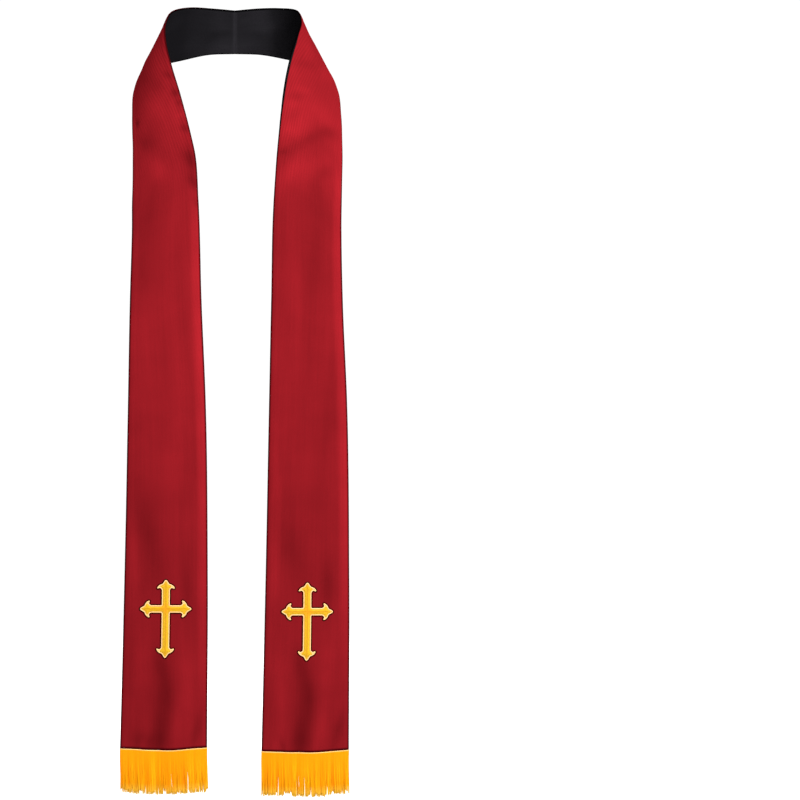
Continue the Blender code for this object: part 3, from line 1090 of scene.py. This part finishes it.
def fill_points(loop):
    """Points in rows inside the rim, for the padded middle of the cross."""
    low = loop.min(axis=0)
    high = loop.max(axis=0)
    xs = np.arange(low[0], high[0], FILL_STEP)
    ys = np.arange(low[1], high[1], FILL_STEP * ROW_STEP)
    rows = []
    for k, y in enumerate(ys):
        offset = FILL_STEP / 2 if k % 2 else 0.0
        rows.append(np.stack([xs + offset, np.full(len(xs), y)], axis=1))
    points = np.concatenate(rows)
    ends = np.roll(loop, -1, axis=0)
    inside = np.zeros(len(points), dtype=bool)
    for (x0, y0), (x1, y1) in zip(loop, ends):
        crosses = (y0 > points[:, 1]) != (y1 > points[:, 1])
        if y1 != y0:
            inside ^= crosses & (points[:, 0] < (x1 - x0) * (points[:, 1] - y0) / (y1 - y0) + x0)
    points = points[inside]
    return points[from_line(points, loop) > FILL_STEP * 0.45]


def arm_coordinates(plan):
    """Along and across the nearest arm of the cross, at each point of its plane."""
    flat_arm = (np.abs(plan[:, 0]) > np.abs(plan[:, 1])) & (np.abs(plan[:, 1]) < ARM_ENDS)
    lengthwise = np.where(flat_arm, plan[:, 0], plan[:, 1])
    crosswise = np.where(flat_arm, plan[:, 1], plan[:, 0])
    return lengthwise, crosswise


def cord_round(line, wide, low, high, first):
    """A closed half-round cord along a line: plan, heights, marks and faces from a first point."""
    angles = np.arange(RIM_RING) * 2 * math.pi / RIM_RING
    lead = to_unit(np.roll(line, -1, axis=0) - np.roll(line, 1, axis=0))
    out = np.stack([-lead[:, 1], lead[:, 0]], axis=1)
    ring_out = np.cos(angles) * wide / 2
    ring_up = np.sin(angles)
    plan = (line[:, None, :] + out[:, None, :] * ring_out[None, :, None]).reshape(-1, 2)
    height = np.where(ring_up > 0, low + ring_up * (high - low), low + ring_up * low)
    count = len(line)
    steps = np.concatenate([[0.0], np.cumsum(np.linalg.norm(np.diff(line, axis=0), axis=1))])
    marks = [np.repeat(steps, RIM_RING), np.tile(ring_out, count), np.ones(count * RIM_RING)]
    faces = []
    for i in range(count):
        j = (i + 1) % count
        for a in range(RIM_RING):
            b = (a + 1) % RIM_RING
            corners = (i * RIM_RING + a, j * RIM_RING + a, j * RIM_RING + b, i * RIM_RING + b)
            faces.append(tuple(first + corner for corner in corners))
    return plan, np.tile(height, count), np.stack(marks, axis=1), faces


def padded_middle(border, fill_high, first):
    """The padded panel inside the rim, closed underneath: its plan, heights, marks and faces."""
    plan_points = [Vector(point) for point in np.concatenate([border, fill_points(border)])]
    ring = list(range(len(border)))
    points, _, triangles, _, _, _ = delaunay_2d_cdt(plan_points, [], [ring], 1, 0.0001)
    plan = np.array([tuple(point) for point in points])
    depth = from_line(plan, border)
    lengthwise, crosswise = arm_coordinates(plan)
    groove = np.exp(-((crosswise / GROOVE_WIDTH) ** 2)) * blend_over(*GROOVE_START, depth)
    crown = (fill_high - PAD_START) * (1 - np.exp(-depth / PAD_CURVE))
    on_edge = depth < 0.05
    top = np.where(on_edge, PANEL_EDGE, PAD_START + crown - GROOVE_DEPTH * groove)
    count = len(plan)
    faces = [tuple(first + i for i in triangle) for triangle in triangles]
    faces += [tuple(first + count + i for i in reversed(triangle)) for triangle in triangles]
    for i in ring:
        j = (i + 1) % len(ring)
        faces.append((first + j, first + i, first + count + i, first + count + j))
    # The third mark says where the fill gets painted shade along the groove
    marks = np.stack([lengthwise, crosswise, groove * 0.5], axis=1)
    heights = np.concatenate([top, np.zeros(count)])
    return np.concatenate([plan, plan]), heights, np.concatenate([marks, marks]), faces


def make_cross(name, half, direction, materials, cloth, sizes):
    """A padded middle in satin stitch, a stitched rim round it, and a fine dark thread round it that
    also stands in for the shadow round the cross.
    """
    base = cloth.half_thickness / MM + CROSS_CLEARANCE
    rim_wide = sizes.rim_width / MM
    rim_high = sizes.rim_height / MM
    outline = even_steps(relaxed(even_steps(cross_outline(), RIM_STEP), 2), RIM_STEP)
    rim_line = relaxed(inward(outline, rim_wide * RIM_INSET), 1)
    thread_line = relaxed(inward(outline, -EDGE_THREAD * EDGE_THREAD_OUTSET), 1)
    border = even_steps(inward(outline, rim_wide * PANEL_INSET), FILL_STEP)
    rim = cord_round(rim_line, rim_wide, RIM_FOOT, rim_high, 0)
    fill = padded_middle(border, sizes.fill_height / MM, len(rim[0]))
    # Dark thread round the rim, which also stands in for the shadow round the cross
    thread = cord_round(thread_line, EDGE_THREAD, EDGE_THREAD_FOOT, EDGE_THREAD_TOP,
                        len(rim[0]) + len(fill[0]))
    plan, heights, marks = [np.concatenate(parts) for parts in list(zip(rim, fill, thread))[:3]]
    faces = rim[3] + fill[3] + thread[3]
    along = half.length - CROSS_ABOVE_HEM[half.name] - plan[:, 1]
    across = half.width(along) / 2 + plan[:, 0] * half.side
    points = half.lifted(along, across, direction * (base + heights))
    piece = new_piece(name, points, faces, materials)
    marks[:, :2] *= MM
    mark(piece, "lay", marks)
    slots = np.zeros(len(faces), dtype=np.int32)
    slots[:len(rim[3])] = 1
    slots[len(rim[3]) + len(fill[3]):] = 2
    for index in range(len(rim[3]), len(rim[3]) + len(fill[3])):
        middle = np.abs(plan[list(faces[index])].mean(axis=0))
        if middle.min() > BARB_OUT:
            slots[index] = 1
    piece.data.polygons.foreach_set("material_index", slots)
    recalculate_outside(piece)
    return piece


# Finishes


class Finish:
    """A procedural material, built node by node."""

    def __init__(self, name, color, roughness):
        self.material = bpy.data.materials.new(name)
        self.material.use_nodes = True
        self.material.diffuse_color = (*color, 1.0)
        self.tree = self.material.node_tree
        self.shader = self.tree.nodes["Principled BSDF"]
        self.shader.inputs["Base Color"].default_value = (*color, 1.0)
        self.shader.inputs["Roughness"].default_value = roughness
        self.count = 0

    def add(self, kind, **settings):
        node = self.tree.nodes.new(kind)
        node.location = (-220.0 * (1 + self.count % 6), 300.0 - 180.0 * (self.count // 6))
        self.count += 1
        for key, value in settings.items():
            setattr(node, key, value)
        return node

    def link(self, source, target):
        self.tree.links.new(source, target)

    def fill(self, socket, value):
        """Sets one socket to a number or a colour, or links it."""
        if isinstance(value, bpy.types.NodeSocket):
            self.link(value, socket)
        else:
            socket.default_value = value

    def put(self, node, **values):
        """Fills sockets by name, with underscores for spaces."""
        for key, value in values.items():
            self.fill(node.inputs[key.replace("_", " ")], value)
        return node

    def lay_parts(self):
        """The cloth's three marks one by one: across, along and the painted light and shade, or a
        thread's own.
        """
        place = self.add("ShaderNodeAttribute", attribute_name="lay")
        parts = self.add("ShaderNodeSeparateXYZ")
        self.link(place.outputs["Vector"], parts.inputs["Vector"])
        return [parts.outputs[axis] for axis in "XYZ"]

    def scaled(self, vector, scale):
        stretch = self.add("ShaderNodeVectorMath", operation="MULTIPLY")
        self.link(vector, stretch.inputs[0])
        stretch.inputs[1].default_value = scale
        return stretch.outputs["Vector"]

    def lay(self, scale=(1.0, 1.0, 1.0)):
        """The place on the cloth, across and along, times a scale."""
        place = self.add("ShaderNodeAttribute", attribute_name="lay")
        return self.scaled(place.outputs["Vector"], scale)

    def noise(self, vector, scale, detail=3.0, roughness=0.5):
        node = self.add("ShaderNodeTexNoise")
        self.put(node, Vector=vector, Scale=scale, Detail=detail, Roughness=roughness)
        return node.outputs["Fac"]

    def waves(self, vector, pitch, axis, distortion=0.0):
        """Even ridges with a pitch in metres across one axis of the vector."""
        node = self.add("ShaderNodeTexWave", wave_type="BANDS", bands_direction=axis)
        scale = math.pi / 10 / pitch
        self.put(node, Vector=vector, Scale=scale, Distortion=distortion, Detail=1.0)
        self.put(node, Detail_Scale=0.6)
        return node.outputs["Fac"]

    def math(self, operation, first, second):
        node = self.add("ShaderNodeMath", operation=operation)
        self.fill(node.inputs[0], first)
        self.fill(node.inputs[1], second)
        return node.outputs["Value"]

    def range(self, value, low, high, to_low, to_high):
        node = self.add("ShaderNodeMapRange", clamp=True)
        self.put(node, Value=value, From_Min=low, From_Max=high, To_Min=to_low, To_Max=to_high)
        return node.outputs["Result"]

    def mix(self, factor, first, second, blend="MIX"):
        """Mixes two colours, each a link or three numbers."""
        node = self.add("ShaderNodeMix", data_type="RGBA", blend_type=blend)
        self.fill(node.inputs[0], factor)
        for socket, value in ((node.inputs[6], first), (node.inputs[7], second)):
            linked = isinstance(value, bpy.types.NodeSocket)
            self.fill(socket, value if linked else (*value, 1.0))
        return node.outputs[2]

    def times(self, first, second):
        return self.mix(1.0, first, second, "MULTIPLY")

    def bump(self, height, distance, strength=1.0, under=None):
        node = self.add("ShaderNodeBump")
        node.inputs["Strength"].default_value = strength
        node.inputs["Distance"].default_value = distance
        self.link(height, node.inputs["Height"])
        if under is not None:
            self.link(under, node.inputs["Normal"])
        return node.outputs["Normal"]

    def finish(self, **values):
        self.put(self.shader, **values)
        return self.material


def tinted(color, factors):
    """A colour with each channel made stronger or weaker."""
    return tuple(min(1.0, channel * factor) for channel, factor in zip(color, factors))


def shade_of(color, factor):
    return tinted(color, (factor, factor, factor))


# Painted brightness of the satin: painted shade in its seams and hollows, painted light on its
# ridges and lit strips
RED_PAINTED_SHADING = (0.2, 0.58, 1.34, 1.9)
BLACK_PAINTED_SHADING = (0.12, 0.45, 1.7, 3.4)

# Where the ribs start along and end along the shoulder, and fade across it, in metres
RIBS_START = (0.14, 0.22)
RIBS_END = (0.37, 0.46)
RIBS_ACROSS = (0.01, 0.07)
RIB_SHADE = (0.95, 1.15)

# Tints of the fringe's threads and of the stitches, channel by channel
DEEP_THREAD = (0.97, 0.62, 0.6)
LIGHT_THREAD = (1.04, 1.38, 4.0)
# Painted light: the paler tips stand in for light through the thin cut ends
PAINTED_TIP_LIGHT = (1.0, 1.8, 50.0)
# Painted shade: darker along the groove down the middle of each cross arm
GROOVE_PAINTED_SHADE = (0.82, 0.60, 0.5)
MIDDLE_TINT = (1.1, 0.72, 0.6)

# Distances down the fringe, as shares of its drop
LOOSE_FROM = (0.12, 0.4)
TIPS_FROM = (0.74, 0.96)

STITCH_PITCH = 0.00046
CORD_STITCH_PITCH = 0.0006


def satin(name, color, roughness, painted_levels, sizes):
    """Satin with soft ribs over the shoulders, threads across, a slightly uneven shine, and light
    and shade painted from its third mark.
    """
    made = Finish(name, color, roughness)
    across, along, tone = made.lay_parts()
    broad = made.noise(made.lay((1.0, 1.0, 0.0)), 14.0, 2.0)
    slub = made.noise(made.lay((380.0, 7.0, 0.0)), 1.0, 3.0, 0.6)
    cloudy = made.math("ADD", made.math("MULTIPLY", broad, 0.6), made.math("MULTIPLY", slub, 0.4))
    clouds = made.range(cloudy, 0.36, 0.64, 0.0, 1.0)
    even = made.mix(clouds, shade_of(color, 0.92), shade_of(color, 1.08))
    # Painted shade in the seams and hollows and painted light on the ridges and lit strips, from the
    # third mark
    deep, low, high, bright = painted_levels
    seams = made.range(tone, -2.0, -1.0, deep, low)
    folds = made.range(tone, -1.0, 1.0, 0.0, high - low)
    strips = made.range(tone, 1.0, 2.0, 0.0, bright - high)
    depth = made.math("ADD", made.math("ADD", seams, folds), strips)
    past_band = made.range(along, *RIBS_START, 0.15, 1.0)
    above_panel = made.range(along, *RIBS_END, 1.0, 0.12)
    beside_neck = made.range(across, *RIBS_ACROSS, 1.0, 0.3)
    over_shoulder = made.math("MULTIPLY", made.math("MULTIPLY", past_band, above_panel), beside_neck)
    wavy = made.waves(made.lay((2.0, 0.3, 0.0)), sizes.rib_pitch, "DIAGONAL", 3.0)
    ribs = made.math("MULTIPLY", wavy, over_shoulder)
    ribbed = made.mix(ribs, (RIB_SHADE[0],) * 3, (RIB_SHADE[1],) * 3)
    hue = made.times(made.times(even, depth), ribbed)
    threads = made.waves(made.lay((1.0, 1.0, 0.0)), sizes.thread_pitch, "Y", 0.3)
    dull = made.range(slub, 0.3, 0.7, roughness - 0.05, roughness + 0.07)
    drape = made.noise(made.lay((1.0, 0.45, 0.0)), 46.0, 3.0, 0.55)
    first = made.bump(drape, 0.0011, 0.35)
    second = made.bump(ribs, 0.00018, 0.6, first)
    third = made.bump(threads, 0.00005, 0.5, second)
    made.put(made.shader, Specular_IOR_Level=0.0)
    return made.finish(Base_Color=hue, Roughness=dull, Normal=third)


def fringe_thread(name, color):
    """Soft cut threads, each in its own shade, with fine fibres along them and paler tips, painted
    light that stands in for light through their thin ends.
    """
    made = Finish(name, color, 0.55)
    own_shade, down, _ = made.lay_parts()
    loose = made.range(down, *LOOSE_FROM, 0.3, 1.0)
    shade = made.math("MULTIPLY", made.math("SUBTRACT", own_shade, 0.5), loose)
    middle = made.math("ADD", shade, 0.5)
    spread = made.mix(middle, tinted(color, DEEP_THREAD), tinted(color, LIGHT_THREAD))
    # Painted light on the thin cut ends, growing towards the tips
    tips = made.range(down, *TIPS_FROM, 0.0, 0.85)
    hue = made.mix(tips, spread, tinted(color, PAINTED_TIP_LIGHT))
    spot = made.add("ShaderNodeTexCoord")
    fibres = made.noise(made.scaled(spot.outputs["Object"], (5200.0, 5200.0, 130.0)), 1.0, 2.0, 0.6)
    tone = made.range(fibres, 0.3, 0.7, 0.5, 1.0)
    streaked = made.mix(tone, shade_of(color, 0.88), hue)
    normal = made.bump(fibres, 0.0002, 0.6)
    made.put(made.shader, Sheen_Weight=0.12, Sheen_Roughness=0.4, Sheen_Tint=(1.0, 0.6, 0.1, 1.0))
    made.put(made.shader, Specular_IOR_Level=0.25, Specular_Tint=(1.0, 0.5, 0.02, 1.0))
    return made.finish(Base_Color=streaked, Normal=normal)


def stitched(name, color, pitch, grooved=False, shine=0.35):
    """Satin stitch: threads side by side over the padding, with a shine along them."""
    made = Finish(name, color, 0.42)
    threads = made.waves(made.lay(), pitch, "X", 0.25)
    streaks = made.noise(made.lay((2600.0, 260.0, 1.0)), 1.0, 2.0, 0.6)
    tone = made.range(streaks, 0.32, 0.68, 0.0, 1.0)
    hue = made.mix(tone, shade_of(color, 0.86), shade_of(color, 1.1))
    if grooved:
        # Painted shade along the groove of each arm
        groove = made.range(made.lay_parts()[2], 0.0, 0.5, 0.0, 0.8)
        hue = made.mix(groove, hue, tinted(color, GROOVE_PAINTED_SHADE))
        from_middle = made.add("ShaderNodeVectorMath", operation="LENGTH")
        made.link(made.lay((1.0, 1.0, 0.0)), from_middle.inputs[0])
        crossing = made.range(from_middle.outputs["Value"], 0.002, 0.011, 0.55, 0.0)
        hue = made.mix(crossing, hue, tinted(color, MIDDLE_TINT))
    first = made.bump(streaks, 0.0003, 0.4)
    normal = made.bump(threads, 0.00012, 0.7, first)
    made.put(made.shader, Sheen_Weight=shine / 7, Sheen_Roughness=0.35)
    made.put(made.shader, Sheen_Tint=(1.0, 0.8, 0.4, 1.0))
    made.put(made.shader, Specular_IOR_Level=shine, Specular_Tint=(1.0, 0.7, 0.15, 1.0))
    return made.finish(Base_Color=hue, Normal=normal)


# Operators


class STOLE_OT_hang_fringe(bpy.types.Operator):
    """Hangs a gold fringe from the hem of each half"""

    bl_idname = "stole.hang_fringe"
    bl_label = "Hang the fringes"

    def execute(self, context):
        sizes = context.scene.stole_fringe
        materials = [
            fringe_thread("gold threads", tuple(sizes.gold)),
            stitched("heading cord", tuple(sizes.cord), CORD_STITCH_PITCH),
        ]
        for side in SIDES:
            piece = make_fringe("threads_" + side, Half(side), materials, sizes)
            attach(piece, "root")
            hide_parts("fringe_" + side)
        return {"FINISHED"}


class STOLE_OT_stitch_crosses(bpy.types.Operator):
    """Stitches a gold cross on both faces of each half"""

    bl_idname = "stole.stitch_crosses"
    bl_label = "Stitch the crosses"

    def execute(self, context):
        sizes = context.scene.stole_cross
        cloth = context.scene.stole_cloth
        materials = [
            stitched("gold fill", tuple(sizes.fill), STITCH_PITCH, grooved=True),
            stitched("gold rim", tuple(sizes.rim), STITCH_PITCH),
            # Dark thread that also stands in for the shadow round the cross
            stitched("dark thread and shadow", tuple(sizes.dark_thread_and_shadow), STITCH_PITCH, shine=0.0),
        ]
        for side in SIDES:
            for face, direction in (("red", 1.0), ("black", -1.0)):
                name = "embroidery_%s_%s" % (face, side)
                piece = make_cross(name, Half(side), direction, materials, cloth, sizes)
                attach(piece, "root")
                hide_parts("cross_%s_%s" % (face, side))
        return {"FINISHED"}


class STOLE_OT_sew_cloth(bpy.types.Operator):
    """Sews the red and the black face of each half"""

    bl_idname = "stole.sew_cloth"
    bl_label = "Sew the cloth"

    def execute(self, context):
        sizes = context.scene.stole_cloth
        finishes = {
            "red": satin("red satin", tuple(sizes.red), 0.42, RED_PAINTED_SHADING, sizes),
            "black": satin("black satin", tuple(sizes.black), 0.5, BLACK_PAINTED_SHADING, sizes),
        }
        for side in SIDES:
            half = Half(side)
            width, length, area = cut_of(half)
            for face, direction in (("red", 1.0), ("black", -1.0)):
                name = "satin_%s_%s" % (face, side)
                piece = make_face(name, half, direction, finishes[face], sizes)
                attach(piece, "root")
                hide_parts("%s_%s" % (face, side))
        return {"FINISHED"}


class STOLE_OT_set_stage(bpy.types.Operator):
    """Sets the floor, the light and the camera"""

    bl_idname = "stole.set_stage"
    bl_label = "Set the stage"

    def execute(self, context):
        sizes = context.scene.stole_stage
        scene = context.scene
        scene.view_settings.view_transform = "Standard"
        self.lay_floor(sizes)
        self.hang_lights(scene, sizes)
        self.place_camera(scene, sizes)
        return {"FINISHED"}

    def lay_floor(self, sizes):
        made = Finish("pale floor", (0.62, 0.62, 0.62), 0.9)
        spot = made.add("ShaderNodeTexCoord")
        speckle = made.noise(spot.outputs["Object"], 3.0, 2.0)
        tone = made.range(speckle, 0.3, 0.7, 0.0, 1.0)
        hue = made.mix(tone, (0.61, 0.61, 0.61), (0.63, 0.63, 0.63))
        made.put(made.shader, Specular_IOR_Level=0.1)
        material = made.finish(Base_Color=hue)
        reach = FLOOR_REACH
        corners = [(-reach, -FLOOR_FRONT), (reach, -FLOOR_FRONT), (reach, reach), (-reach, reach)]
        points = [(x, y, sizes.floor_level) for x, y in corners]
        floor = new_piece("floor", points, [(0, 1, 2, 3)], [material])

    def hang_lights(self, scene, sizes):
        self.fill_room(scene, sizes)
        top = bpy.data.lights.new("top light", "SUN")
        top.energy = sizes.top_strength
        top.angle = math.radians(TOP_LIGHT_ANGLE)
        lamp = bpy.data.objects.new("top light", top)
        lamp.rotation_euler = Vector(TOP_LIGHT_FROM).to_track_quat("Z", "Y").to_euler()
        scene.collection.objects.link(lamp)
        for name, place, power, glint in SOFTBOXES:
            box = bpy.data.lights.new(name, "AREA")
            box.energy = power * sizes.key_power
            box.size = SOFTBOX_SIZE
            lamp = bpy.data.objects.new(name, box)
            lamp.location = place
            aim = lamp.location - Vector(SOFTBOX_AIM)
            lamp.rotation_euler = aim.to_track_quat("Z", "Y").to_euler()
            lamp.visible_camera = False
            lamp.visible_glossy = glint
            scene.collection.objects.link(lamp)

    def fill_room(self, scene, sizes):
        """Even light from all round, and a plain white ground where the camera sees past it."""
        world = bpy.data.worlds.new("studio")
        scene.world = world
        world.use_nodes = True
        tree = world.node_tree
        tree.nodes.clear()
        rays = tree.nodes.new("ShaderNodeLightPath")
        mixer = tree.nodes.new("ShaderNodeMixShader")
        output = tree.nodes.new("ShaderNodeOutputWorld")
        tree.links.new(rays.outputs["Is Camera Ray"], mixer.inputs[0])
        tree.links.new(mixer.outputs["Shader"], output.inputs["Surface"])
        lit = ((1.0, 0.995, 0.985, 1.0), sizes.sky_strength)
        seen = ((1.0, 1.0, 1.0, 1.0), WHITE_SEEN)
        for socket, (color, strength) in zip(mixer.inputs[1:3], (lit, seen)):
            ground = tree.nodes.new("ShaderNodeBackground")
            ground.inputs["Color"].default_value = color
            ground.inputs["Strength"].default_value = strength
            tree.links.new(ground.outputs["Background"], socket)

    def place_camera(self, scene, sizes):
        lens = bpy.data.cameras.new("camera")
        lens.lens = sizes.focal_length
        lens.sensor_width = SENSOR_WIDTH
        lens.shift_x = sizes.frame_shift
        camera = bpy.data.objects.new("camera", lens)
        camera.location = (0.0, -sizes.distance, sizes.eye_level)
        camera.rotation_euler = (math.radians(90.0), 0.0, 0.0)
        scene.collection.objects.link(camera)
        scene.camera = camera


class STOLE_PT_sidebar(bpy.types.Panel):
    """Steps and sizes of the stole, in the sidebar"""

    bl_label = "Clerical stole"
    bl_idname = "STOLE_PT_sidebar"
    bl_space_type = "VIEW_3D"
    bl_region_type = "UI"
    bl_category = "Stole"

    def draw(self, context):
        layout = self.layout
        for group, step in STEPS:
            box = layout.box()
            box.operator(step)
            sizes = getattr(context.scene, group)
            for key in sizes.bl_rna.properties.keys():
                if key not in ("rna_type", "name"):
                    box.prop(sizes, key)


STEPS = (
    ("stole_fringe", "stole.hang_fringe"),
    ("stole_cross", "stole.stitch_crosses"),
    ("stole_cloth", "stole.sew_cloth"),
    ("stole_stage", "stole.set_stage"),
)

GROUPS = {
    "stole_fringe": FringeSettings,
    "stole_cross": CrossSettings,
    "stole_cloth": ClothSettings,
    "stole_stage": StageSettings,
}

OTHER_CLASSES = (
    STOLE_OT_hang_fringe,
    STOLE_OT_stitch_crosses,
    STOLE_OT_sew_cloth,
    STOLE_OT_set_stage,
    STOLE_PT_sidebar,
)


def register():
    for key, group in GROUPS.items():
        bpy.utils.register_class(group)
        setattr(bpy.types.Scene, key, PointerProperty(type=group))
    for kind in OTHER_CLASSES:
        bpy.utils.register_class(kind)


def unregister():
    for kind in reversed(OTHER_CLASSES):
        bpy.utils.unregister_class(kind)
    for key, group in GROUPS.items():
        delattr(bpy.types.Scene, key)
        bpy.utils.unregister_class(group)


def main():
    register()
    bpy.ops.stole.hang_fringe()
    bpy.ops.stole.stitch_crosses()
    bpy.ops.stole.sew_cloth()
    bpy.ops.stole.set_stage()


if __name__ == "__main__":
    main()
